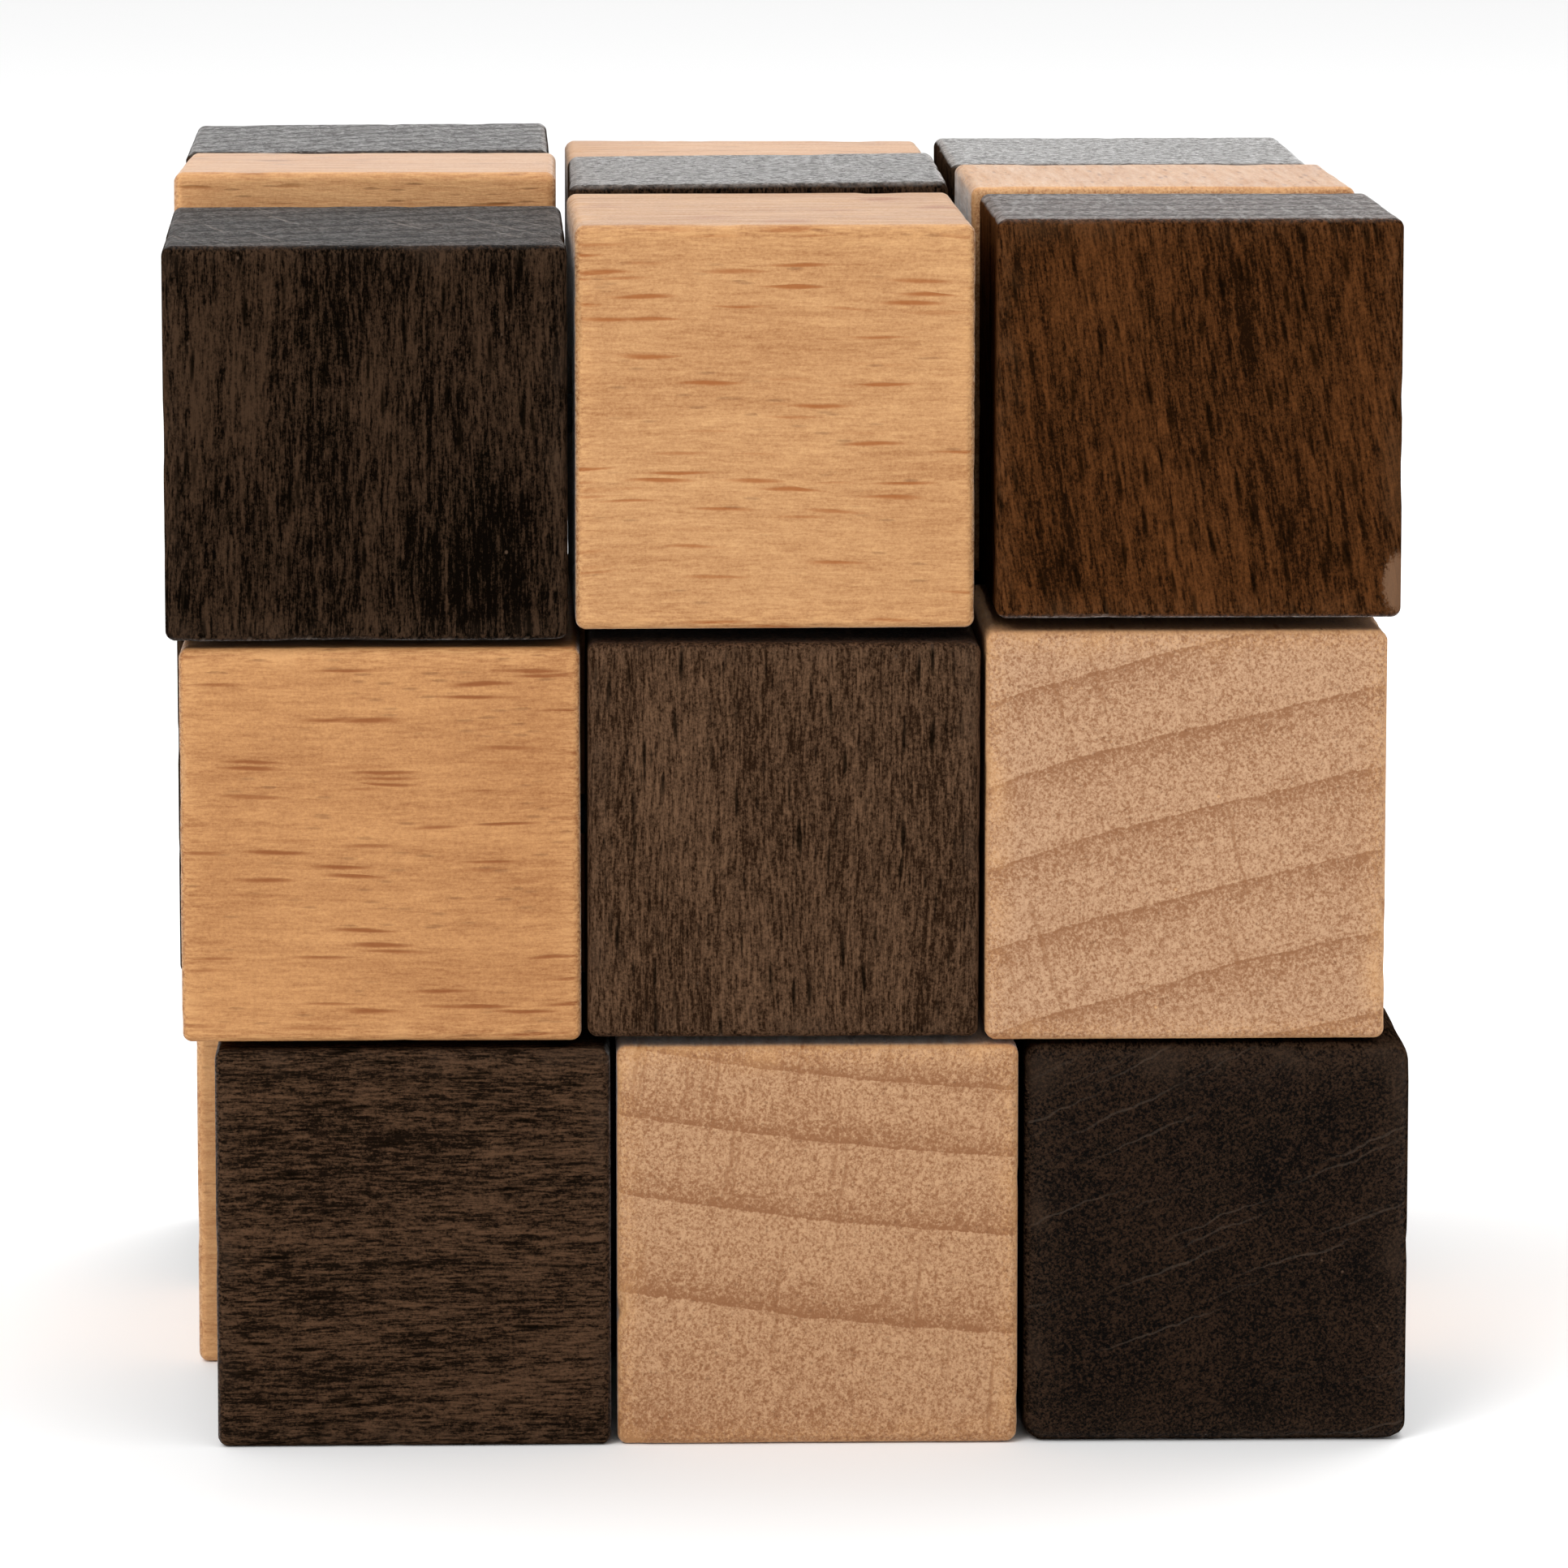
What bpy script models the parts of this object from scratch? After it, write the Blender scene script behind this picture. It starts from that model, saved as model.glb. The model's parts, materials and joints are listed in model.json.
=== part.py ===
"""Snake cube: 27 wooden cubelets threaded on one elastic cord, packed into a 3 x 3 x 3 block.

Frame: metres, +Z up, +X right, +Y to the back. The origin is the middle of the underside of
cubelet_23, the centre cubelet of the bottom layer, so the block stands on z = 0.
"""
import math

import bmesh
import bpy
from mathutils import Euler, Matrix, Vector

MM = 0.001

# Driving dimensions
CUBELET_EDGE = 19.5 * MM      # nominal edge of one cubelet
SEAM_GAP = 0.4 * MM           # sideways gap between neighbouring cubelets
LAYER_GAP = 0.5 * MM          # upright gap between layers, wide enough for a layer to turn
EDGE_ROUND = 0.5 * MM         # sanded round on every cubelet edge
CORD_RADIUS = 1.0 * MM        # elastic cord
CORD_CLEARANCE = 0.3 * MM     # gap between the cord's lengths where they meet
BORE_PLAY = 1.2 * MM          # room round the cord in its drilled channel, so that it can slant
BORE_STOP = 0.2 * MM          # a drilling stops this far short of the far wall of the one it meets
KNOT_RADIUS = 2.7 * MM        # stopper knot at each end of the cord
KNOT_LENGTH = 3.8 * MM        # the knot along the cord
KNOT_CLEARANCE = 0.6 * MM     # gap between the knot and its counterbore
KNOT_DEPTH = 0.7 * MM         # how far the knot lies below the face

BORE_SIDES = 16
CORD_SIDES = 10
ROUND_STEPS = 2
KNOT_STEPS = 6
WELD = 0.01 * MM
FLAT_ANGLE = 30               # degrees; steeper creases than this stay sharp
ROUND_ANGLE = 50              # the same, on the cord's few-sided round

# The cord's route through the block, as grid cells (right, back, up), from one knot to the other
ROUTE = (
    (0, 2, 2), (0, 1, 2), (0, 0, 2), (1, 0, 2), (1, 1, 2), (1, 2, 2), (2, 2, 2), (2, 1, 2), (2, 0, 2),
    (2, 0, 1), (1, 0, 1), (0, 0, 1), (0, 1, 1), (1, 1, 1), (2, 1, 1), (2, 2, 1), (1, 2, 1), (0, 2, 1),
    (0, 2, 0), (1, 2, 0), (2, 2, 0), (2, 1, 0), (1, 1, 0), (0, 1, 0), (0, 0, 0), (1, 0, 0), (2, 0, 0),
)
CENTRE_CELL = 1

# How each cubelet differs from the nominal one, in millimetres and degrees, by its place on the cord:
# shift = sideways and upright play, trim = width, depth and height over nominal, lean = tilt about X, Y, Z
HAND_FIT = {
    1: {"shift": (-0.80, 0.10, 0.95), "trim": (-0.40, 0.0, 0.10), "lean": (0.3, -0.3, 0.2)},
    2: {"shift": (-0.60, 0.10, 0.80), "trim": (-0.30, -0.1, 0.35), "lean": (-1.2, 0.1, -0.3)},
    3: {"shift": (-0.42, -0.15, -0.10), "trim": (-0.05, 0.0, -0.33), "lean": (1.2, 0.0, 0.5)},
    4: {"shift": (-0.65, 0.05, 0.25), "trim": (-0.20, 0.0, 0.07), "lean": (0.2, 0.0, 0.8)},
    5: {"shift": (-0.62, 0.08, 0.75), "trim": (-0.30, 0.0, 0.05), "lean": (0.2, -0.5, -0.3)},
    6: {"shift": (-0.60, 0.04, 0.15), "trim": (-0.15, 0.0, 0.0), "lean": (0.0, 0.2, 0.2)},
    7: {"shift": (-0.50, 0.12, 0.25), "trim": (-0.50, 0.0, 0.0), "lean": (0.1, 0.0, -0.2)},
    8: {"shift": (-0.20, 0.03, 0.40), "trim": (-0.10, 0.0, 0.0), "lean": (-0.8, 0.1, -0.4)},
    9: {"shift": (0.15, 0.0, 0.55), "trim": (0.15, 0.0, -0.15), "lean": (-0.8, 0.0, -0.6)},
    10: {"shift": (-0.42, -0.05, 0.0), "trim": (0.0, 0.0, 0.55), "lean": (0.0, 0.0, -0.4)},
    11: {"shift": (-0.10, 0.05, 0.20), "trim": (-0.45, 0.0, -0.15), "lean": (0.0, 0.2, -0.1)},
    12: {"shift": (0.32, 0.05, 0.10), "trim": (-0.10, 0.0, -0.22), "lean": (0.1, 0.0, -0.4)},
    13: {"shift": (-0.60, 0.0, 0.05), "trim": (0.0, 0.0, 0.0), "lean": (0.0, 0.0, 0.3)},
    14: {"shift": (-0.48, 0.0, 0.05), "trim": (0.31, 0.0, 0.0), "lean": (0.0, 0.0, 0.0)},
    15: {"shift": (0.10, 0.0, 0.05), "trim": (0.05, 0.0, -0.05), "lean": (0.0, 0.0, -0.2)},
    16: {"shift": (0.25, 0.1, 0.05), "trim": (-0.10, 0.0, -0.05), "lean": (0.0, 0.0, 0.3)},
    17: {"shift": (0.05, 0.0, 0.05), "trim": (0.0, 0.05, -0.05), "lean": (0.0, 0.0, 0.0)},
    18: {"shift": (-0.20, 0.1, 0.05), "trim": (0.05, 0.0, -0.05), "lean": (0.0, 0.0, -0.2)},
    19: {"shift": (-0.15, 0.2, 0.0), "trim": (0.0, 0.0, 0.1), "lean": (0.0, 0.0, 0.4)},
    20: {"shift": (0.15, 0.0, 0.0), "trim": (-0.05, 0.0, 0.0), "lean": (0.0, 0.0, 0.0)},
    21: {"shift": (0.50, 0.1, 0.0), "trim": (0.0, 0.0, 0.1), "lean": (0.0, 0.0, -0.3)},
    22: {"shift": (0.20, 0.0, 0.0), "trim": (0.05, -0.05, 0.05), "lean": (0.0, 0.0, 0.2)},
    23: {"shift": (0.0, 0.0, 0.0), "trim": (0.05, 0.0, 0.1), "lean": (0.0, 0.0, 0.0)},
    24: {"shift": (0.15, -0.05, 0.0), "trim": (-0.1, 0.0, 0.1), "lean": (0.0, 0.0, 0.2)},
    25: {"shift": (1.78, 0.05, 0.0), "trim": (-0.25, 0.0, 0.20), "lean": (0.0, 0.0, -0.3)},
    26: {"shift": (1.60, 0.0, 0.0), "trim": (0.10, 0.0, 0.28), "lean": (0.0, 0.0, -0.4)},
    27: {"shift": (1.25, -0.15, 0.0), "trim": (-0.70, 0.0, 0.28), "lean": (0.0, 0.0, -0.7)},
}

STAINED_WOOD = (0.045, 0.032, 0.024, 1.0)
NATURAL_WOOD = (0.62, 0.40, 0.21, 1.0)
CORD_BLACK = (0.02, 0.02, 0.022, 1.0)


def clear_scene():
    for item in list(bpy.data.objects):
        bpy.data.objects.remove(item, do_unlink=True)


def plain_material(name, colour, roughness):
    material = bpy.data.materials.new(name)
    material.use_nodes = True
    shader = material.node_tree.nodes["Principled BSDF"]
    shader.inputs["Base Color"].default_value = colour
    shader.inputs["Roughness"].default_value = roughness
    shader.inputs["Metallic"].default_value = 0.0
    return material


def as_object(name, shape, material=None):
    """Put a finished bmesh into the scene as an object."""
    mesh = bpy.data.meshes.new(name)
    shape.to_mesh(mesh)
    shape.free()
    if material:
        mesh.materials.append(material)
    item = bpy.data.objects.new(name, mesh)
    bpy.context.scene.collection.objects.link(item)
    return item


def neighbour_ways(number):
    """Unit steps from a cubelet towards the cubelets before and after it on the cord."""
    here = Vector(ROUTE[number - 1])
    ways = []
    for other in (number - 1, number + 1):
        if 1 <= other <= len(ROUTE):
            ways.append(Vector(ROUTE[other - 1]) - here)
    return ways


def bore_radius():
    return CORD_RADIUS + BORE_PLAY


def exit_way(number):
    """The way the cord's end leaves the first or last cubelet: straight on from its only link."""
    return -neighbour_ways(number)[0]


def cubelet_size(number):
    trim = HAND_FIT[number]["trim"]
    return Vector([CUBELET_EDGE + extra * MM for extra in trim])


def cubelet_turn(number):
    lean = HAND_FIT[number]["lean"]
    return Euler([math.radians(angle) for angle in lean]).to_matrix()


def cubelet_centre(number):
    """The grid place of a cubelet, plus its own play; its height above the layer's floor."""
    right, back, up = ROUTE[number - 1]
    shift = HAND_FIT[number]["shift"]
    pitch = CUBELET_EDGE + SEAM_GAP
    layer_floor = up * (CUBELET_EDGE + LAYER_GAP)
    return Vector((
        (right - CENTRE_CELL) * pitch + shift[0] * MM,
        (back - CENTRE_CELL) * pitch + shift[1] * MM,
        layer_floor + shift[2] * MM + cubelet_size(number).z / 2,
    ))


def turned_to(way):
    """Rotation that takes +Z onto a direction."""
    return Vector(way).to_track_quat("Z", "Y").to_matrix().to_4x4()


def add_rod(shape, radius, start, end, way, sides):
    """Add a closed cylinder to a bmesh, from start to end along a direction through the middle."""
    middle = Vector(way) * ((start + end) / 2)
    bmesh.ops.create_cone(
        shape, cap_ends=True, segments=sides, radius1=radius, radius2=radius,
        depth=end - start, matrix=Matrix.Translation(middle) @ turned_to(way))


def cut_with(block, cutter):
    """Take a cutter away from a block with an exact Boolean, and bake the result."""
    cutter.hide_render = True
    cutter.display_type = "WIRE"
    cut = block.modifiers.new("cut", "BOOLEAN")
    cut.operation = "DIFFERENCE"
    cut.solver = "EXACT"
    cut.object = cutter
    graph = bpy.context.evaluated_depsgraph_get()
    baked = bpy.data.meshes.new_from_object(block.evaluated_get(graph))
    block.modifiers.clear()
    block.data = baked
    bpy.data.objects.remove(cutter, do_unlink=True)


def drill(block, radius, start, end, way):
    shape = bmesh.new()
    add_rod(shape, radius, start, end, way, BORE_SIDES)
    cut_with(block, as_object("drill", shape))


def rounded_block(name, size, material):
    """A block with every edge rounded."""
    shape = bmesh.new()
    bmesh.ops.create_cube(shape, size=1.0)
    bmesh.ops.scale(shape, vec=size, verts=shape.verts)
    bmesh.ops.bevel(
        shape, geom=shape.edges[:], offset=EDGE_ROUND, segments=ROUND_STEPS, profile=0.5, affect="EDGES")
    return as_object(name, shape, material)


def counterbore_radius():
    return KNOT_RADIUS + KNOT_CLEARANCE


def counterbore_depth():
    return KNOT_DEPTH + KNOT_LENGTH + KNOT_CLEARANCE


def make_cubelet(number, material):
    """One cubelet, drilled straight through, or from two sides that meet in the middle."""
    size = cubelet_size(number)
    block = rounded_block(f"cubelet_{number:02d}", size, material)
    reach = max(size)
    ways = neighbour_ways(number)
    if len(ways) == 1:
        ways.append(exit_way(number))
    if ways[0] == -ways[1]:
        drill(block, bore_radius(), -reach, reach, ways[0])
    else:
        for way in ways:
            drill(block, bore_radius(), BORE_STOP - bore_radius(), reach, way)
    if number in (1, len(ROUTE)):
        face = abs(size.dot(exit_way(number))) / 2
        drill(block, counterbore_radius(), face - counterbore_depth(), reach, exit_way(number))
    block.location = cubelet_centre(number)
    block.rotation_euler = cubelet_turn(number).to_euler()
    block.data.shade_smooth()
    block.data.set_sharp_from_angle(angle=math.radians(FLAT_ANGLE))


def cord_end_gap():
    """The cord's lengths stop this far from a cubelet's middle, so that they clear each other."""
    return CORD_RADIUS + CORD_CLEARANCE


def make_cord_length(first, material):
    """The stretch of cord between the middles of two linked cubelets."""
    start = cubelet_centre(first)
    end = cubelet_centre(first + 1)
    run = end - start
    shape = bmesh.new()
    half = run.length / 2 - cord_end_gap()
    add_rod(shape, CORD_RADIUS, -half, half, (0, 0, 1), CORD_SIDES)
    item = as_object(f"cord_{first:02d}_{first + 1:02d}", shape, material)
    item.location = start + run / 2
    item.rotation_euler = turned_to(run).to_euler()
    item.data.shade_smooth()
    item.data.set_sharp_from_angle(angle=math.radians(ROUND_ANGLE))


def knot_outline(tail_start, face):
    """Half outline of the cord's tail and its stopper knot, as (radius, distance from the middle)."""
    knot_end = face - KNOT_DEPTH
    knot_start = knot_end - KNOT_LENGTH
    outline = [(0.0, tail_start), (CORD_RADIUS, tail_start), (CORD_RADIUS, knot_start)]
    for step in range(1, KNOT_STEPS):
        angle = math.pi * step / KNOT_STEPS
        along = knot_start + KNOT_LENGTH * (1 - math.cos(angle)) / 2
        outline.append((max(CORD_RADIUS, KNOT_RADIUS * math.sin(angle)), along))
    outline.append((0.0, knot_end))
    return outline


def make_knot(name, number, material):
    """The knotted end of the cord, in the counterbore of the first or last cubelet."""
    way = exit_way(number)
    face = abs(cubelet_size(number).dot(way)) / 2
    shape = bmesh.new()
    corners = [shape.verts.new((radius, 0.0, along)) for radius, along in knot_outline(cord_end_gap(), face)]
    edges = [shape.edges.new(pair) for pair in zip(corners, corners[1:])]
    bmesh.ops.spin(
        shape, geom=corners + edges, cent=(0, 0, 0), axis=(0, 0, 1), angle=math.tau, steps=CORD_SIDES)
    bmesh.ops.remove_doubles(shape, verts=shape.verts, dist=WELD)
    bmesh.ops.recalc_face_normals(shape, faces=shape.faces)
    item = as_object(name, shape, material)
    item.location = cubelet_centre(number)
    item.rotation_euler = (cubelet_turn(number).to_4x4() @ turned_to(way)).to_euler()
    item.data.shade_smooth()


def build():
    clear_scene()
    stained = plain_material("stained_wood", STAINED_WOOD, 0.6)
    natural = plain_material("natural_wood", NATURAL_WOOD, 0.6)
    elastic = plain_material("elastic_cord", CORD_BLACK, 0.8)
    for number in range(1, len(ROUTE) + 1):
        make_cubelet(number, stained if number % 2 else natural)
    for first in range(1, len(ROUTE)):
        make_cord_length(first, elastic)
    make_knot("cord_knot_first", 1, elastic)
    make_knot("cord_knot_last", len(ROUTE), elastic)


build()
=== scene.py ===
"""Looks of the snake cube: sawn and sanded beech cubelets, natural and dark stained, on an elastic cord."""
import json
import math

import bpy
import numpy as np
from mathutils import Euler, Matrix, Vector

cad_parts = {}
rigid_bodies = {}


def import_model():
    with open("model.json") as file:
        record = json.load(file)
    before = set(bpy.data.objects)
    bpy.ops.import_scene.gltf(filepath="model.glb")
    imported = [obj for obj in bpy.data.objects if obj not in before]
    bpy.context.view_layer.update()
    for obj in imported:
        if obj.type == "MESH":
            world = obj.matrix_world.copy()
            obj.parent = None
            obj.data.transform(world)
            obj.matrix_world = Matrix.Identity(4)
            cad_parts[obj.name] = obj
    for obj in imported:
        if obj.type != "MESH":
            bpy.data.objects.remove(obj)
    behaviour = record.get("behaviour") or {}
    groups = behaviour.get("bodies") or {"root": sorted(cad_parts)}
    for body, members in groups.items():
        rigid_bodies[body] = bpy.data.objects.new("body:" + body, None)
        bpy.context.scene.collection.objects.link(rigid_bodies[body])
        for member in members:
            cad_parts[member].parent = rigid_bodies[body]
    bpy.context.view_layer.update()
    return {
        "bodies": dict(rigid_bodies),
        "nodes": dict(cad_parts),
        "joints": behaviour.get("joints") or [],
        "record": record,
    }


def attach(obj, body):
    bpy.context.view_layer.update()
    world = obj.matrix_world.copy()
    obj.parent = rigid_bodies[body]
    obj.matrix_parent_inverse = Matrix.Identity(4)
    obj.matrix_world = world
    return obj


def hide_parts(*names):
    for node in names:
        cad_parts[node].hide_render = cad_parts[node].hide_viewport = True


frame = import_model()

MM = 0.001

# Camera, as the block was seen: from a little to the left and a little above
CAMERA_AZIMUTH = 1.80
CAMERA_ELEVATION = 8.35
CAMERA_DISTANCE = 415.5 * MM
CAMERA_LENS = 197.05
CAMERA_SENSOR = 36.0
CAMERA_TARGET = Vector((-0.11, -29.65, 32.69)) * MM

# Shape of a cubelet's surface
GRID_STEPS = 34              # quads across the flat middle of a face
ROUND_LOOPS = 4              # loops over half of a rounded edge
EDGE_ROUND = 0.50 * MM
ROUND_VARIATION = 0.35       # share by which the round swells and shrinks along an edge
FACE_HOLLOW = 0.03 * MM      # how far a face strays from flat
EDGE_WEAR = 0.06 * MM        # how far worn spots on an edge are set back
BORE_RADIUS = 2.2 * MM
BORE_FLARE = 0.35 * MM       # broken edge at the mouth of a bore
BORE_SIDES = 40
COUNTERBORE_RADIUS = 3.3 * MM
COUNTERBORE_DEPTH = 5.1 * MM
CORD_RADIUS = 1.0 * MM

FLAT_ANGLE = 6               # degrees by which a facet of a flat side may stray from the side's axis
SHARP_ANGLE = 50             # degrees above which an edge is shaded sharp
SWELL_SIZES = (4.2 * MM, 1.3 * MM)
WEAR_SIZES = (1.1 * MM, 2.9 * MM)
HOLLOW_SIZE = 6.0 * MM
CHIP_RAGGEDNESS = 0.7 * MM
DRILL_BEYOND = 2.0 * MM      # how far a cutter stands out of the face
DRILL_MEET = 0.5 * MM        # overlap of two straight drillings in the middle
CORNER_MEET = 0.9            # share of the bore's radius by which two drillings at a corner meet
TIP_DEPTH = 0.9 * MM         # cone left by the drill at the bottom of a counterbore
TIP_STEP = 0.35 * MM
TIP_SHARE = 0.55

# Fixed odd factors that scatter whole-number cells
SCATTER = (374761393, 668265263, 2147483647, 974634777)
SCATTER_AGAIN = 1274126177


# ---------------------------------------------------------------- small numeric tools

def lattice_value(cells, seed):
    """A fixed pseudo-random value from 0 to 1 for each whole-number cell."""
    mixed = cells[..., 0] * SCATTER[0] + cells[..., 1] * SCATTER[1] + cells[..., 2] * SCATTER[2]
    mixed = mixed + seed * SCATTER[3]
    mixed = (mixed ^ (mixed >> 13)) * SCATTER_AGAIN
    mixed = mixed ^ (mixed >> 16)
    return (mixed & 0xFFFF) / 65535.0


def noise(points, size, seed):
    """Smooth value noise from 0 to 1 with features of the given size, at an array of points."""
    scaled = points / size
    cell = np.floor(scaled).astype(np.int64)
    part = scaled - cell
    part = part * part * (3 - 2 * part)
    total = np.zeros(points.shape[:-1])
    for corner in np.ndindex(2, 2, 2):
        weight = np.ones(points.shape[:-1])
        for axis in range(3):
            weight = weight * (part[..., axis] if corner[axis] else 1 - part[..., axis])
        total += weight * lattice_value(cell + np.array(corner), seed)
    return total


def mixed_noise(points, sizes, share, seed):
    """Two noises of different sizes, the first with the given share of the whole."""
    return noise(points, sizes[0], seed) * share + noise(points, sizes[1], seed + 1) * (1 - share)


def smooth_step(low, high, values):
    ramp = np.clip((values - low) / (high - low), 0.0, 1.0)
    return ramp * ramp * (3 - 2 * ramp)


def linear(red, green, blue):
    """A colour given as 0 to 255, as the renderer's linear values."""
    channels = []
    for value in (red, green, blue):
        share = value / 255
        channels.append(share / 12.92 if share <= 0.04045 else ((share + 0.055) / 1.055) ** 2.4)
    return (*channels, 1.0)


# ---------------------------------------------------------------- reading the frame

def mesh_points(node):
    mesh = frame["nodes"][node].data
    points = np.empty(len(mesh.vertices) * 3)
    mesh.vertices.foreach_get("co", points)
    return points.reshape(-1, 3)


def block_place(node):
    """Centre, turn and half sizes of a cubelet, from its largest flat faces."""
    mesh = frame["nodes"][node].data
    directions = []
    for axis in range(3):
        total = Vector()
        for face in mesh.polygons:
            if face.normal[axis] > math.cos(math.radians(FLAT_ANGLE)):
                total += face.normal * face.area
        directions.append(total.normalized())
    right = directions[0]
    up = (directions[2] - right * directions[2].dot(right)).normalized()
    back = up.cross(right)
    turn = Matrix((right, back, up)).transposed()
    local = mesh_points(node) @ np.array(turn)
    low, high = local.min(axis=0), local.max(axis=0)
    centre = turn @ Vector((low + high) / 2)
    return centre, turn, (high - low) / 2


def rod_ends(node):
    """The two ends of a straight length of cord."""
    points = mesh_points(node)
    middle = points.mean(axis=0)
    along = np.linalg.svd(points - middle)[2][0]
    reach = (points - middle) @ along
    return Vector(middle + along * reach.min()), Vector(middle + along * reach.max())


def link_directions():
    """For each cubelet body, the directions of its drilled ways, as the links' slides run."""
    ways = {name: [] for name in frame["bodies"]}
    parent_of = {}
    for joint in frame["joints"]:
        if joint["type"] == "slide":
            ways[joint["parent"]].append(Vector(joint["axis"]))
            parent_of[joint["child"]] = Vector(joint["axis"])
    for joint in frame["joints"]:
        if joint["type"] == "hinge":
            ways[joint["child"]].append(-parent_of[joint["parent"]])
    return ways


# ---------------------------------------------------------------- geometry

def spaced(half, radius):
    """Grid positions across a face: close together over the rounds, even over the flat middle."""
    flat = half - radius
    angles = [math.radians(45) * step / ROUND_LOOPS for step in range(1, ROUND_LOOPS + 1)]
    edge = [flat + radius * math.tan(angle) for angle in angles]
    inner = np.linspace(-flat, flat, GRID_STEPS + 1)
    return np.concatenate([-np.array(edge[::-1]), inner, np.array(edge)])


def block_grid(half, round_radius):
    """Points and quads of a closed grid over the six faces of a box, with shared edges."""
    lines = [spaced(half[axis], round_radius) for axis in range(3)]
    count = len(lines[0])
    index = {}
    points = []
    quads = []

    def corner(i, j, k):
        key = (i, j, k)
        if key not in index:
            index[key] = len(points)
            points.append((lines[0][i], lines[1][j], lines[2][k]))
        return index[key]

    last = count - 1
    for axis in range(3):
        for side in (0, last):
            for i in range(last):
                for j in range(last):
                    ring = []
                    for a, b in ((i, j), (i + 1, j), (i + 1, j + 1), (i, j + 1)):
                        key = [0, 0, 0]
                        key[axis] = side
                        key[(axis + 1) % 3] = a
                        key[(axis + 2) % 3] = b
                        ring.append(corner(*key))
                    quads.append(ring if side else ring[::-1])
    return np.array(points), quads


def worn_surface(points, half, round_radius, seed, chips):
    """Round the box's edges unevenly, and set back its worn spots and chips."""
    swell = mixed_noise(points, SWELL_SIZES, 0.6, seed)
    radius = round_radius * (1 + ROUND_VARIATION * (swell * 2 - 1))
    inner = np.clip(points, -(half - round_radius), half - round_radius)
    normal = points - inner
    length = np.linalg.norm(normal, axis=1, keepdims=True)
    normal = normal / np.maximum(length, 1e-12)
    flatness = np.sort(np.abs(points) / half, axis=1)[:, 1]
    near_edge = smooth_step(1 - 3.0 * round_radius / half.min(), 1.0, flatness)
    # a larger radius pulls the edge in towards the middle line of its round
    diagonal = (np.abs(normal) > 0.3).sum(axis=1)
    pull = (radius - round_radius) * np.where(diagonal == 2, 0.35, np.where(diagonal == 3, 0.6, 0.0))
    spots = smooth_step(0.56, 0.80, mixed_noise(points, WEAR_SIZES, 0.6, seed + 2))
    hollow = FACE_HOLLOW * noise(points, HOLLOW_SIZE, seed + 4)
    back = np.maximum(pull, 0) + EDGE_WEAR * spots * near_edge + hollow
    worn = inner + normal * round_radius - normal * back[:, None]
    for place, reach, depth in chips:
        spot = np.array(place) * half
        away = np.linalg.norm(worn - spot, axis=1)
        ragged = 0.7 + 0.6 * noise(points, CHIP_RAGGEDNESS, seed + 5)
        worn -= normal * (depth * MM * smooth_step(1.0, 0.0, away / (reach * MM) / ragged))[:, None]
    return worn, near_edge, spots


def mesh_object(name, points, faces):
    mesh = bpy.data.meshes.new(name)
    mesh.from_pydata([tuple(point) for point in points], [], [list(face) for face in faces])
    mesh.update()
    item = bpy.data.objects.new(name, mesh)
    bpy.context.scene.collection.objects.link(item)
    return item


def turned_profile(name, outline, way, sides):
    """A closed body turned round an axis from (radius, distance) points; the ends lie on the axis."""
    points = []
    faces = []
    frame_turn = Vector(way).to_track_quat("Z", "Y").to_matrix()
    middle = outline[1:-1]
    for radius, along in middle:
        for side in range(sides):
            angle = math.tau * side / sides
            points.append(frame_turn @ Vector((radius * math.cos(angle), radius * math.sin(angle), along)))
    for row in range(len(middle) - 1):
        for side in range(sides):
            after = (side + 1) % sides
            low, high = row * sides, (row + 1) * sides
            faces.append((low + side, low + after, high + after, high + side))
    for end, row in ((outline[0], 0), (outline[-1], len(middle) - 1)):
        tip = len(points)
        points.append(frame_turn @ Vector((0, 0, end[1])))
        for side in range(sides):
            after = (side + 1) % sides
            pair = (row * sides + side, row * sides + after)
            faces.append((tip, pair[1], pair[0]) if row == 0 else (tip, pair[0], pair[1]))
    return mesh_object(name, points, faces)


def drill(way, bottom, radius, face):
    """A cutter that starts with the given bottom points and flares where it leaves the face."""
    beyond = face + DRILL_BEYOND
    outline = [
        *bottom, (radius, face - BORE_FLARE - FACE_HOLLOW), (radius + BORE_FLARE, face),
        (radius + BORE_FLARE, beyond), (0, beyond)]
    return turned_profile("cutter", outline, way, BORE_SIDES)


def bore_cutter(way, start, face):
    return drill(way, [(0, start), (BORE_RADIUS, start)], BORE_RADIUS, face)


def counterbore_cutter(way, face):
    start = face - COUNTERBORE_DEPTH
    bottom = [
        (0, start - TIP_DEPTH), (COUNTERBORE_RADIUS * TIP_SHARE, start - TIP_STEP), (COUNTERBORE_RADIUS, start)]
    return drill(way, bottom, COUNTERBORE_RADIUS, face)


def cut_away(block, cutters):
    for cutter in cutters:
        cut = block.modifiers.new("cut", "BOOLEAN")
        cut.operation = "DIFFERENCE"
        cut.solver = "EXACT"
        cut.object = cutter
    graph = bpy.context.evaluated_depsgraph_get()
    baked = bpy.data.meshes.new_from_object(block.evaluated_get(graph))
    block.modifiers.clear()
    block.data = baked
    for cutter in cutters:
        bpy.data.objects.remove(cutter, do_unlink=True)


def keep_values(mesh, name, values):
    """Store a value for each point, for the material to read."""
    mesh.attributes.new(name, "FLOAT", "POINT").data.foreach_set("value", values)


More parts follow.
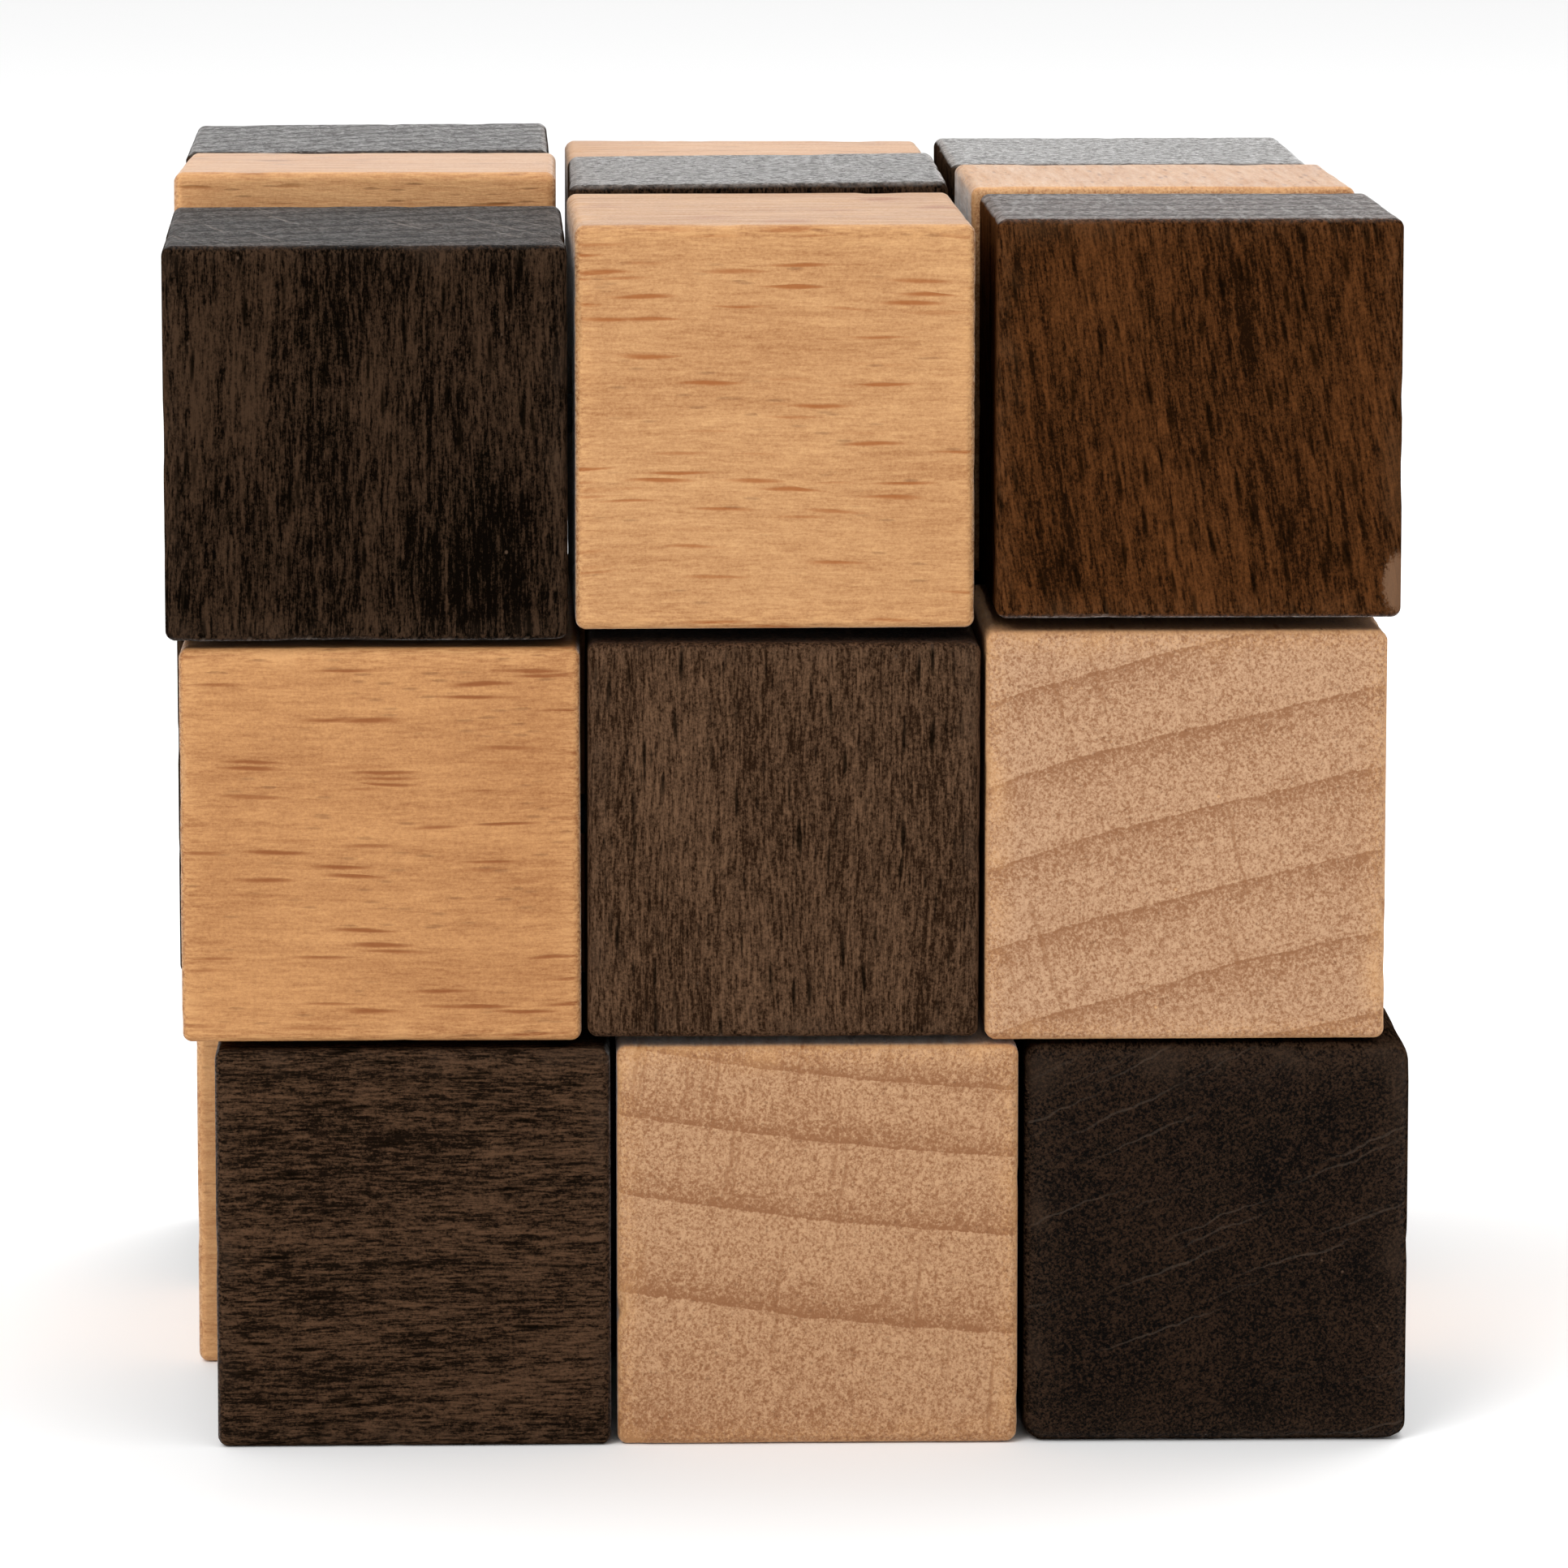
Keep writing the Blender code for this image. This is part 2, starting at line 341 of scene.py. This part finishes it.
def make_cubelet(node, ways, look):
    centre, turn, half = block_place(node)
    round_radius = EDGE_ROUND * look["round"]
    points, quads = block_grid(half, round_radius)
    worn, near_edge, spots = worn_surface(points, half, round_radius, look["seed"], look["chips"])
    block = mesh_object(f"wood_{node}", worn, quads)
    keep_values(block.data, "edge", near_edge)
    keep_values(block.data, "wear", near_edge * spots)
    cutters = []
    ways = list(ways)
    if len(ways) == 1:
        out = -ways[0]
        cutters.append(counterbore_cutter(out, abs(Vector(half).dot(out))))
        ways.append(out)
    start = -DRILL_MEET if ways[0] == -ways[1] else -BORE_RADIUS * CORNER_MEET
    for way in ways:
        cutters.append(bore_cutter(way, start, abs(Vector(half).dot(way))))
    cut_away(block, cutters)
    block.matrix_world = Matrix.Translation(centre) @ turn.to_4x4()
    block.data.shade_smooth()
    block.data.set_sharp_from_angle(angle=math.radians(SHARP_ANGLE))
    block.data.materials.clear()
    block.data.materials.append(wood_material(node, look))
    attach(block, node)
    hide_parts(node)


# ---------------------------------------------------------------- materials

# Details per millimetre: across, sideways and along the grain
WANDER = (0.13, 0.13, 0.05)
RIPPLE = (1.1, 1.1, 0.2)
PORES = (4.6, 4.6, 0.7)
STREAKS = (2.2, 2.2, 0.16)
FIBRES = (7.0, 7.0, 1.0)
FELT = (6.5, 6.5, 6.5)
MOTTLE = (2.3, 2.3, 2.3)
DUST = (1.3, 1.3, 1.0)
CLOUDS = (0.20, 0.20, 0.08)
YARN = (9000, 9000, 9000)    # this one per metre

RING_LINE = 0.985            # where within a growth ring its dark line ends
WOOD_RELIEF = 0.08 * MM
YARN_RELIEF = 0.05 * MM


class Nodes:
    """Short ways to add and join a material's nodes."""

    def __init__(self, material):
        material.use_nodes = True
        self.tree = material.node_tree
        self.shader = self.tree.nodes["Principled BSDF"]

    def feed(self, socket, value):
        if isinstance(value, bpy.types.NodeSocket):
            self.tree.links.new(value, socket)
        else:
            socket.default_value = value

    def feed_named(self, node, sockets):
        for key, value in sockets.items():
            self.feed(node.inputs[key.replace("_", " ")], value)

    def surface(self, **sockets):
        self.feed_named(self.shader, sockets)

    def add(self, kind, settings=None, **sockets):
        node = self.tree.nodes.new(kind)
        for key, value in (settings or {}).items():
            setattr(node, key, value)
        self.feed_named(node, sockets)
        return node

    def math(self, operation, *values, clamp=False):
        node = self.add("ShaderNodeMath", {"operation": operation, "use_clamp": clamp})
        for socket, value in zip(node.inputs, values):
            self.feed(socket, value)
        return node.outputs[0]

    def chain(self, operation, first, *rest):
        """Join several values by one operation, from left to right."""
        for value in rest:
            first = self.math(operation, first, value)
        return first

    def vector(self, operation, first, second):
        node = self.add("ShaderNodeVectorMath", {"operation": operation})
        self.feed(node.inputs[0], first)
        self.feed(node.inputs[1], second)
        return node.outputs[0]

    def ramp(self, value, low, high, to_low=0.0, to_high=1.0, smooth=True):
        return self.add(
            "ShaderNodeMapRange", {"interpolation_type": "SMOOTHSTEP" if smooth else "LINEAR"},
            Value=value, From_Min=low, From_Max=high, To_Min=to_low, To_Max=to_high).outputs["Result"]

    def noise(self, place, density, detail=2.0, roughness=0.5, output="Fac"):
        vector = self.vector("MULTIPLY", place, density)
        return self.add(
            "ShaderNodeTexNoise", Vector=vector, Scale=1.0, Detail=detail, Roughness=roughness).outputs[output]

    def mix(self, share, first, second, blend="MIX"):
        node = self.add("ShaderNodeMix", {"data_type": "RGBA", "blend_type": blend})
        self.feed(node.inputs[0], share)
        self.feed(node.inputs[6], first)
        self.feed(node.inputs[7], second)
        return node.outputs[2]

    def bump(self, height, strength, distance):
        return self.add("ShaderNodeBump", Strength=strength, Distance=distance, Height=height).outputs["Normal"]


def flecks(nodes, vector, keep, low, high):
    """Sparse long spots: cells of a stretched pattern, of which only the share that keep leaves is drawn."""
    cells = nodes.add("ShaderNodeTexVoronoi", Vector=vector, Scale=1.0)
    pick = nodes.add("ShaderNodeSeparateColor", Color=cells.outputs["Color"]).outputs[0]
    chosen = nodes.ramp(pick, 1 - keep, 1 - keep * 0.6)
    return nodes.math("MULTIPLY", chosen, nodes.ramp(cells.outputs["Distance"], high, low))


GRAIN_TURNS = {
    "X": Matrix(((0, 1, 0), (0, 0, 1), (1, 0, 0))),
    "Y": Matrix(((0, 0, 1), (1, 0, 0), (0, 1, 0))),
    "Z": Matrix.Identity(3),
}


def grain_turn(look):
    """Rotation from a cubelet's own axes to the tree's: X away from the pith, Z along the grain."""
    radial = Matrix.Rotation(math.radians(-look["radial"]), 3, "Z")
    slope = Euler([math.radians(angle) for angle in look["slope"]]).to_matrix()
    return radial @ GRAIN_TURNS[look["grain"]] @ slope


def tree_place(nodes, position, turn, look):
    """Position in the tree in millimetres, with the slow wander of its grain."""
    tree = nodes.add(
        "ShaderNodeMapping", {"vector_type": "POINT"}, Vector=position, Rotation=turn, Scale=(1000, 1000, 1000),
        Location=(look["pith"], 0, look["seed"] * 31.7 % 200)).outputs[0]
    wander = nodes.noise(tree, WANDER, detail=1, output="Color")
    wander = nodes.vector("SUBTRACT", wander, (0.5, 0.5, 0.5))
    return nodes.vector("ADD", tree, nodes.vector("MULTIPLY", wander, (look["wave"], look["wave"], 1.0)))


def late_wood(nodes, radius, ripple, look):
    """Growth rings: light early wood darkens outwards to a sharp line."""
    outward = nodes.math("SUBTRACT", radius, look["pith"])
    per_mm = nodes.math("ADD", 1 / look["ring"], nodes.math("MULTIPLY", outward, look["widening"]))
    phase = nodes.chain(
        "ADD", nodes.math("MULTIPLY", outward, per_mm), look["phase"], nodes.math("MULTIPLY", ripple, 0.07))
    within = nodes.math("FRACT", phase)
    slow = nodes.math("POWER", nodes.ramp(within, 0.25, RING_LINE, smooth=False), 2.4)
    line = nodes.ramp(within, 0.90, RING_LINE)
    late = nodes.math("ADD", nodes.math("MULTIPLY", slow, 0.75), nodes.math("MULTIPLY", line, 0.25))
    return nodes.math("MULTIPLY", late, nodes.ramp(within, 1.0, RING_LINE))


def ray_flecks(nodes, around, radius, along, ripple, look):
    """Rays: thin sheets that run away from the pith, seen edge-on as lens-shaped flecks."""
    shifted = nodes.math("ADD", around, nodes.math("MULTIPLY", ripple, 0.5))
    sheet = nodes.add(
        "ShaderNodeCombineXYZ", X=nodes.math("DIVIDE", shifted, look["ray_width"]),
        Y=nodes.math("DIVIDE", radius, look["ray_reach"]), Z=nodes.math("DIVIDE", along, look["ray_height"]))
    return flecks(nodes, sheet.outputs[0], look["rays"], 0.14, 0.46)


def end_share(nodes, normal, turn):
    """How much of an end face this is: its outward direction against the grain."""
    facing = nodes.add("ShaderNodeMapping", {"vector_type": "NORMAL"}, Vector=normal, Rotation=turn)
    facing = nodes.add("ShaderNodeSeparateXYZ", Vector=facing.outputs[0]).outputs[2]
    return nodes.ramp(nodes.math("ABSOLUTE", facing), 0.45, 0.9)


def worn_share(nodes, fibre, look):
    """Edges and worn spots, where the fibres are rubbed."""
    edge = nodes.add("ShaderNodeAttribute", {"attribute_name": "edge"}).outputs["Fac"]
    wear = nodes.add("ShaderNodeAttribute", {"attribute_name": "wear"}).outputs["Fac"]
    rubbed = nodes.math("MULTIPLY", edge, nodes.ramp(fibre, 0.40, 0.66))
    return nodes.math("MULTIPLY", nodes.math("ADD", rubbed, wear, clamp=True), look["rub"])


def patch_share(nodes, position, spot, felt):
    """A ragged round patch, with its centre and half sizes in millimetres from the cubelet's middle."""
    gap = nodes.vector("SUBTRACT", position, tuple(value * MM for value in spot["at"]))
    gap = nodes.vector("DIVIDE", gap, tuple(value * MM for value in spot["size"]))
    reach = nodes.add("ShaderNodeVectorMath", {"operation": "LENGTH"}, Vector=gap).outputs["Value"]
    raggedness = nodes.math("MULTIPLY", nodes.math("SUBTRACT", felt, 0.5), 1.2)
    ragged = nodes.math("ADD", reach, raggedness)
    return nodes.math("MULTIPLY", nodes.ramp(ragged, 1.15, 0.75), spot["share"])


def wood_material(name, look):
    material = bpy.data.materials.new(f"beech_{name}")
    nodes = Nodes(material)
    palette = look["palette"]
    turn = grain_turn(look).to_euler()
    place = nodes.add("ShaderNodeTexCoord")
    position = place.outputs["Object"]
    tree = tree_place(nodes, position, turn, look)
    across, sideways, along = nodes.add("ShaderNodeSeparateXYZ", Vector=tree).outputs
    radius = nodes.math("SQRT", nodes.math(
        "ADD", nodes.math("MULTIPLY", across, across), nodes.math("MULTIPLY", sideways, sideways)))
    around = nodes.math("MULTIPLY", nodes.math("ARCTAN2", sideways, across), look["pith"])
    ripple = nodes.noise(tree, RIPPLE)
    late = late_wood(nodes, radius, ripple, look)
    ray = ray_flecks(nodes, around, radius, along, ripple, look)
    pore = flecks(nodes, nodes.vector("MULTIPLY", tree, PORES), look["pores"], 0.12, 0.42)
    dust = flecks(nodes, nodes.vector("MULTIPLY", tree, DUST), 0.05, 0.05, 0.13)
    streak = nodes.noise(tree, STREAKS, detail=3, roughness=0.65)
    fibre = nodes.noise(tree, FIBRES, detail=3, roughness=0.75)
    felt = nodes.noise(tree, FELT, detail=3, roughness=0.8)
    mottle = nodes.noise(tree, MOTTLE, roughness=0.7)
    cloud = nodes.noise(tree, CLOUDS, detail=3)
    end = end_share(nodes, place.outputs["Normal"], turn)

    def by_face(side, over_end):
        """One value on the faces along the grain and another on the end faces."""
        return nodes.ramp(end, 0.0, 1.0, side, over_end)

    def weigh(value, side, over_end):
        return nodes.math("MULTIPLY", nodes.math("SUBTRACT", value, 0.5), by_face(side, over_end))

    tone = nodes.chain(
        "ADD", look["middle"], weigh(streak, look["streak"], 0.2),
        weigh(fibre, look["fibre"], look["fibre"] * 0.7),
        weigh(felt, look["grit"], look["felt"]), weigh(mottle, 0.0, 1.3),
        weigh(cloud, look["cloud"], look["cloud"] * 0.6))
    rings = nodes.math("MULTIPLY", late, by_face(look["ring_side"], look["ring_end"]))
    tone = nodes.math("SUBTRACT", tone, rings, clamp=True)
    colour = nodes.mix(tone, palette["deep"], palette["pale"])
    colour = nodes.mix(end, colour, nodes.mix(1.0, colour, palette["end_tint"], "MULTIPLY"))
    # painted sheen: a light grey painted over the end faces, patchy with the mottle, standing in for the glare
    # that grazing light leaves on the tops
    painted_sheen_share = nodes.ramp(mottle, 0.35, 0.65, 0.3 * look["bleach"], look["bleach"])
    ray_share = nodes.math("MULTIPLY", ray, by_face(look["ray_side"], look["ray_end"]))
    layers = [
        (nodes.math("MULTIPLY", end, painted_sheen_share), palette["bleached"]),
        (ray_share, nodes.mix(end, palette["ray"], palette["ray_end"])),
        (nodes.math("MULTIPLY", pore, look["pore"]), palette["pore"]),
        (nodes.math("MULTIPLY", dust, look["dust"]), palette["rubbed"]),
        (worn_share(nodes, fibre, look), palette["rubbed"]),
        *((patch_share(nodes, position, spot, felt), spot["colour"]) for spot in look["patches"])]
    for share, over in layers:
        colour = nodes.mix(share, colour, over)

    # raised fibres catch the light where a face is seen at a low angle
    raised = nodes.chain("ADD", 0.5, weigh(felt, 1.6, 4.5), weigh(mottle, 0.0, 3.6), weigh(streak, 1.6, 1.2))
    raised = nodes.math("SUBTRACT", raised, nodes.chain("MULTIPLY", end, look["ring_end"], late))
    raised = nodes.math("ADD", raised, nodes.chain("MULTIPLY", end, 0.6, ray))
    raised = nodes.ramp(raised, 0.0, 1.0, 0.35, 1.35, smooth=False)
    height = nodes.math("ADD", nodes.math("MULTIPLY", fibre, 0.7), nodes.math("MULTIPLY", streak, 0.5))
    height = nodes.math("ADD", height, weigh(felt, 0.2, 1.0))
    height = nodes.math("SUBTRACT", height, nodes.math("MULTIPLY", nodes.math("MAXIMUM", pore, ray), 0.5))
    nodes.surface(
        Base_Color=colour, Roughness=nodes.ramp(fibre, 0.2, 0.8, *look["rough"]),
        Specular_IOR_Level=by_face(look["gloss_side"], look["gloss"]),
        Sheen_Weight=nodes.math("MULTIPLY", by_face(look["sheen_side"], look["sheen"]), raised),
        Sheen_Roughness=look["sheen_rough"], Normal=nodes.bump(height, 0.6, WOOD_RELIEF))
    return material


# What a cubelet looks like unless LOOKS says otherwise. A name that ends in _side is for the faces along the
# grain and one that ends in _end for the end faces; pith, ring, wave and the ray sizes are in millimetres.
NATURAL = {
    "kind": "natural", "slope": (0, 0, 0), "rough": (0.50, 0.72), "gloss": 0.18, "gloss_side": 0.18,
    "sheen": 0.42, "sheen_side": 0.42, "sheen_rough": 0.3, "bleach": 0.0,
    "pith": 90.0, "wave": 0.8, "ring": 3.9, "widening": 0.0, "phase": 0.0, "middle": 0.60,
    "ray_width": 0.32, "ray_reach": 9.0, "ray_height": 3.0, "rays": 0.25, "ray_side": 0.85, "ray_end": 0.35,
    "pores": 0.22, "pore": 0.40, "streak": 0.8, "fibre": 1.1, "grit": 1.2, "felt": 4.2, "cloud": 0.7,
    "ring_side": 0.12, "ring_end": 0.62, "rub": 0.35, "dust": 0.5, "patches": (), "round": 1.0, "chips": ()}
STAINED = {
    **NATURAL, "kind": "stained", "rough": (0.50, 0.70), "gloss": 0.03, "gloss_side": 0.0,
    "sheen": 0.27, "sheen_side": 0.0, "middle": 0.38, "rays": 0.22, "ray_height": 2.6, "pores": 0.30,
    "pore": 0.6, "streak": 1.6, "fibre": 3.4, "grit": 2.2, "felt": 4.6, "cloud": 1.3,
    "ring_side": 0.15, "ring_end": 0.25, "rub": 0.25, "dust": 1.0}


def natural(grain, radial, seed, pale=(208, 160, 111), deep=(160, 105, 62), ray=(140, 86, 42), **more):
    palette = {
        "pale": linear(*pale), "deep": linear(*deep), "ray": linear(*ray), "ray_end": linear(138, 92, 58),
        "pore": linear(110, 70, 40), "rubbed": linear(214, 164, 110), "end_tint": linear(238, 243, 255),
        # the last colour is the light grey painted on the end faces as sheen
        "bleached": linear(214, 190, 160)}
    return {**NATURAL, "grain": grain, "radial": radial, "seed": seed, "palette": palette, **more}


def stained(grain, radial, seed, pale=(58, 42, 30), deep=(8, 5, 3), ray=(6, 4, 2), rubbed=(72, 56, 44), **more):
    palette = {
        "pale": linear(*pale), "deep": linear(*deep), "ray": linear(*ray), "ray_end": linear(86, 74, 64),
        "pore": linear(6, 4, 3), "rubbed": linear(*rubbed), "end_tint": linear(230, 224, 220),
        # the last colour is the light grey painted on the end faces as sheen
        "bleached": linear(172, 164, 158)}
    return {**STAINED, "grain": grain, "radial": radial, "seed": seed, "palette": palette, **more}


# A chip: its place as shares of the half sizes, then its reach and depth in millimetres
CHIPPED_EDGE = ((-1.0, -1.0, -0.30), 0.9, 0.45)
WORN_CORNER = {"at": (9.7, -9.7, -8.0), "size": (0.8, 0.9, 1.5), "colour": linear(122, 92, 70), "share": 0.7}

LOOKS = {
    1: stained("Z", 120, 11, sheen=0.85, ring_end=0.8, ring=2.6, bleach=0.08),
    2: natural("X", 0, 12, sheen_side=0.62),
    3: stained(
        "Z", -69, 13, rays=0.30, ray_end=0.75, sheen=0.33, ring=3.0, ring_end=0.9, middle=0.31, cloud=1.8,
        streak=2.0),
    4: natural(
        "X", 0, 14, pale=(199, 153, 105), deep=(143, 91, 50), ray=(146, 82, 34), ray_width=0.38,
        ray_height=4.6, rays=0.44, pores=0.10, sheen_side=0.5, wave=1.1),
    # cubelets 5 and 7 carry the strongest painted sheen on their tops, 1 and 9 a little
    5: stained("Z", 20, 15, sheen=1.05, ring_end=0.0, rays=0.02, bleach=0.28),
    6: natural("X", 80, 16, sheen_side=0.62),
    7: stained("Z", 30, 17, sheen=1.25, ring_end=0.0, rays=0.02, bleach=0.40),
    8: natural("Y", 10, 18, sheen_side=0.62),
    9: stained(
        "Z", -90, 19, pale=(90, 53, 26), deep=(26, 13, 5), ray=(10, 5, 2), rubbed=(96, 66, 42), cloud=0.9,
        ray_width=0.38, rays=0.50, ray_side=0.8, slope=(0, 9, 0), fibre=2.0, grit=1.8, streak=1.5,
        sheen=0.75, ring_end=0.8, bleach=0.05, patches=(WORN_CORNER,)),
    10: natural(
        "Y", -14.5, 20, pale=(202, 158, 117), deep=(150, 101, 64), pith=160, wave=0.5, rays=0.14, phase=0.66,
        sheen_side=0.0, ray_end=0.5),
    11: stained(
        "Z", -90, 21, sheen=0.02, pale=(98, 73, 54), deep=(34, 21, 12), streak=1.0, fibre=2.6, cloud=0.8,
        wave=1.6),
    12: natural(
        "X", 0, 22, pale=(192, 141, 91), deep=(136, 84, 45), sheen_side=0.0, ray=(126, 68, 28), rays=0.48,
        ray_width=0.38, ray_height=4.8),
    13: stained("Z", 0, 23),
    14: natural("Z", 0, 24),
    15: stained("X", 40, 25),
    16: natural("Z", 60, 26),
    17: stained("X", 10, 27),
    18: natural("Y", 30, 28),
    19: stained("Z", 10, 29),
    20: natural("X", 30, 30),
    21: stained("Y", 70, 31),
    22: natural("Z", 5, 32),
    23: stained("X", 0, 33),
    24: natural("X", 85, 34),
    25: stained("X", 0, 35, pale=(80, 58, 42), deep=(20, 13, 8), cloud=0.9),
    26: natural(
        "Y", -173.5, 36, pale=(200, 154, 110), deep=(148, 98, 60), pith=150, wave=0.5, ring=4.54,
        widening=-0.0062, phase=0.25, rays=0.30, ray_end=0.55, ring_end=0.72, chips=(CHIPPED_EDGE,)),
    27: stained(
        "Y", 70, 37, pale=(53, 38, 27), deep=(6, 4, 3), ray_end=0.24, round=1.8, ray_width=0.20,
        ring_end=0.1, cloud=1.8),
}


def cord_material():
    material = bpy.data.materials.new("woven_elastic")
    nodes = Nodes(material)
    yarn = nodes.noise(nodes.add("ShaderNodeTexCoord").outputs["Object"], YARN, detail=3)
    nodes.surface(
        Base_Color=nodes.mix(nodes.ramp(yarn, 0.3, 0.75), linear(24, 24, 26), linear(62, 61, 64)),
        Roughness=nodes.ramp(yarn, 0.2, 0.8, 0.65, 0.9), Normal=nodes.bump(yarn, 0.5, YARN_RELIEF))
    return material


# ---------------------------------------------------------------- cord

STRANDS = 8
STRAND_PITCH = 4.2 * MM
STRAND_RELIEF = 0.10         # share of the radius
CORD_SIDES = 32
CORD_STEP = 0.22 * MM
KNOT_POINTS = 110
KNOT_TUBE = 0.86 * MM
KNOT_LENGTH = 3.8 * MM
KNOT_REACH = 1.75 * MM
KNOT_HALF = 0.95 * MM
KNOT_FOOT = 0.2 * MM         # the cord's end face is looked for within this of the lowest point
LEAD_INSET = 0.9 * MM
TAIL_START = Vector((0.5, 0.2, 0.2)) * MM
TAIL_LENGTH = 1.6 * MM
TAIL_SHARE = 0.9


def woven_tube(name, path, radius, closed=False):
    """A tube along a list of points, with the over-and-under relief of a braided sleeve."""
    path = [Vector(point) for point in path]
    count = len(path)
    points = []
    faces = []
    travelled = 0.0
    normal = None
    for step, here in enumerate(path):
        after = path[(step + 1) % count] if closed or step + 1 < count else here
        before = path[step - 1] if closed or step else here
        tangent = (after - before).normalized()
        if normal is None:
            normal = tangent.orthogonal().normalized()
        normal = (normal - tangent * normal.dot(tangent)).normalized()
        side = tangent.cross(normal)
        travelled += (here - path[step - 1]).length if step else 0.0
        for spoke in range(CORD_SIDES):
            angle = math.tau * spoke / CORD_SIDES
            twist = math.tau * travelled / STRAND_PITCH
            over = abs(math.sin(STRANDS / 2 * angle + twist)) * abs(math.sin(STRANDS / 2 * angle - twist))
            reach = radius * (1 - STRAND_RELIEF + STRAND_RELIEF * over ** 0.5)
            points.append(here + (normal * math.cos(angle) + side * math.sin(angle)) * reach)
    rows = count if closed else count - 1
    for row in range(rows):
        for spoke in range(CORD_SIDES):
            low, high = row * CORD_SIDES, (row + 1) % count * CORD_SIDES
            after = (spoke + 1) % CORD_SIDES
            faces.append((low + spoke, low + after, high + after, high + spoke))
    if not closed:
        faces.append(tuple(range(CORD_SIDES))[::-1])
        faces.append(tuple(range((count - 1) * CORD_SIDES, count * CORD_SIDES)))
    item = mesh_object(name, points, faces)
    item.data.shade_smooth()
    return item


def straight_path(start, end):
    steps = max(2, round((end - start).length / CORD_STEP))
    return [start.lerp(end, step / steps) for step in range(steps + 1)]


def finish_cord(item, body, node, material):
    item.data.materials.append(material)
    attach(item, body)
    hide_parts(node)


def make_cord_lengths(material):
    for body, members in frame["record"]["behaviour"]["bodies"].items():
        for node in members:
            if node.startswith("cord_") and "knot" not in node:
                start, end = rod_ends(node)
                item = woven_tube(f"woven_{node}", straight_path(start, end), CORD_RADIUS)
                finish_cord(item, body, node, material)


def knot_path(centre, turn, reach, half_length):
    """One turn of an overhand knot, whose three lobes lie round the cord."""
    path = []
    for step in range(KNOT_POINTS):
        angle = math.tau * step / KNOT_POINTS
        across = Vector((
            (math.sin(angle) + 2 * math.sin(2 * angle)) / 3 * reach,
            (math.cos(angle) - 2 * math.cos(2 * angle)) / 3 * reach,
            -math.sin(3 * angle) * half_length))
        path.append(centre + turn @ across)
    return path


def make_knot(node, body, way, material):
    """The pulled-tight overhand knot, its short tail and the cord that leads into the cubelet."""
    points = mesh_points(node)
    along = points @ np.array(way)
    low, high = along.min(), along.max()
    foot = Vector(points[along < low + KNOT_FOOT].mean(axis=0))
    base = foot - way * (foot.dot(way) - low)
    turn = way.to_track_quat("Z", "Y").to_matrix()
    centre = base + way * (high - low - KNOT_LENGTH / 2)
    path = knot_path(centre, turn, KNOT_REACH, KNOT_HALF)
    knot = woven_tube(f"woven_{node}", path, KNOT_TUBE, closed=True)
    lead = woven_tube("lead", straight_path(base, centre - way * LEAD_INSET), CORD_RADIUS)
    start = centre + turn @ TAIL_START
    tail = woven_tube("tail", straight_path(start, start + way * TAIL_LENGTH), KNOT_TUBE * TAIL_SHARE)
    parts = [knot, lead, tail]
    with bpy.context.temp_override(
            active_object=knot, object=knot, selected_objects=parts, selected_editable_objects=parts):
        bpy.ops.object.join()
    finish_cord(knot, body, node, material)


# ---------------------------------------------------------------- stage

FLOOR_SIZE = 6.0
FLOOR_DROP = 0.02 * MM       # the floor lies this far under the block
FLOOR_COLOUR = (0.93, 0.93, 0.93, 1.0)
SKY_STRENGTH = 0.95

# Name, place, size and power of each round lamp; all of them point at the block's middle
LAMPS = (
    ("key", (-0.35, -0.55, 0.60), 0.45, 3.2),
    ("top", (0.15, 0.35, 0.80), 0.60, 3.0),
)
BLOCK_MIDDLE = Vector((0, 0, 0.03))


def make_stage():
    bpy.ops.mesh.primitive_plane_add(size=FLOOR_SIZE, location=(0, 0, -FLOOR_DROP))
    floor = bpy.context.object
    floor.name = "floor"
    material = bpy.data.materials.new("pale_floor")
    Nodes(material).surface(Base_Color=FLOOR_COLOUR, Roughness=0.9)
    floor.data.materials.append(material)


def add_lamp(name, place, size, power):
    data = bpy.data.lights.new(name, "AREA")
    data.shape = "DISK"
    data.size = size
    data.energy = power
    item = bpy.data.objects.new(name, data)
    item.location = place
    item.rotation_euler = (BLOCK_MIDDLE - Vector(place)).to_track_quat("-Z", "Y").to_euler()
    bpy.context.scene.collection.objects.link(item)


def make_lights():
    world = bpy.data.worlds.new("soft_white")
    world.use_nodes = True
    background = world.node_tree.nodes["Background"]
    background.inputs["Color"].default_value = (1.0, 1.0, 1.0, 1.0)
    background.inputs["Strength"].default_value = SKY_STRENGTH
    bpy.context.scene.world = world
    for lamp in LAMPS:
        add_lamp(*lamp)


def make_camera():
    azimuth = math.radians(CAMERA_AZIMUTH)
    elevation = math.radians(CAMERA_ELEVATION)
    look = Vector((
        math.sin(azimuth) * math.cos(elevation), math.cos(azimuth) * math.cos(elevation), -math.sin(elevation)))
    data = bpy.data.cameras.new("camera")
    data.lens = CAMERA_LENS
    data.sensor_width = CAMERA_SENSOR
    data.clip_start = 0.01
    camera = bpy.data.objects.new("camera", data)
    camera.location = CAMERA_TARGET - look * CAMERA_DISTANCE
    camera.rotation_euler = look.to_track_quat("-Z", "Y").to_euler()
    bpy.context.scene.collection.objects.link(camera)
    bpy.context.scene.camera = camera


def set_colours():
    settings = bpy.context.scene.view_settings
    settings.view_transform = "Standard"
    settings.look = "None"


# ---------------------------------------------------------------- the object

make_camera()
make_lights()
make_stage()
set_colours()
directions = link_directions()
for number, look in LOOKS.items():
    node = f"cubelet_{number:02d}"
    make_cubelet(node, directions[node], look)
elastic = cord_material()
make_cord_lengths(elastic)
for node, body in (("cord_knot_first", "cubelet_01"), ("cord_knot_last", "cubelet_27")):
    make_knot(node, body, -directions[body][0], elastic)
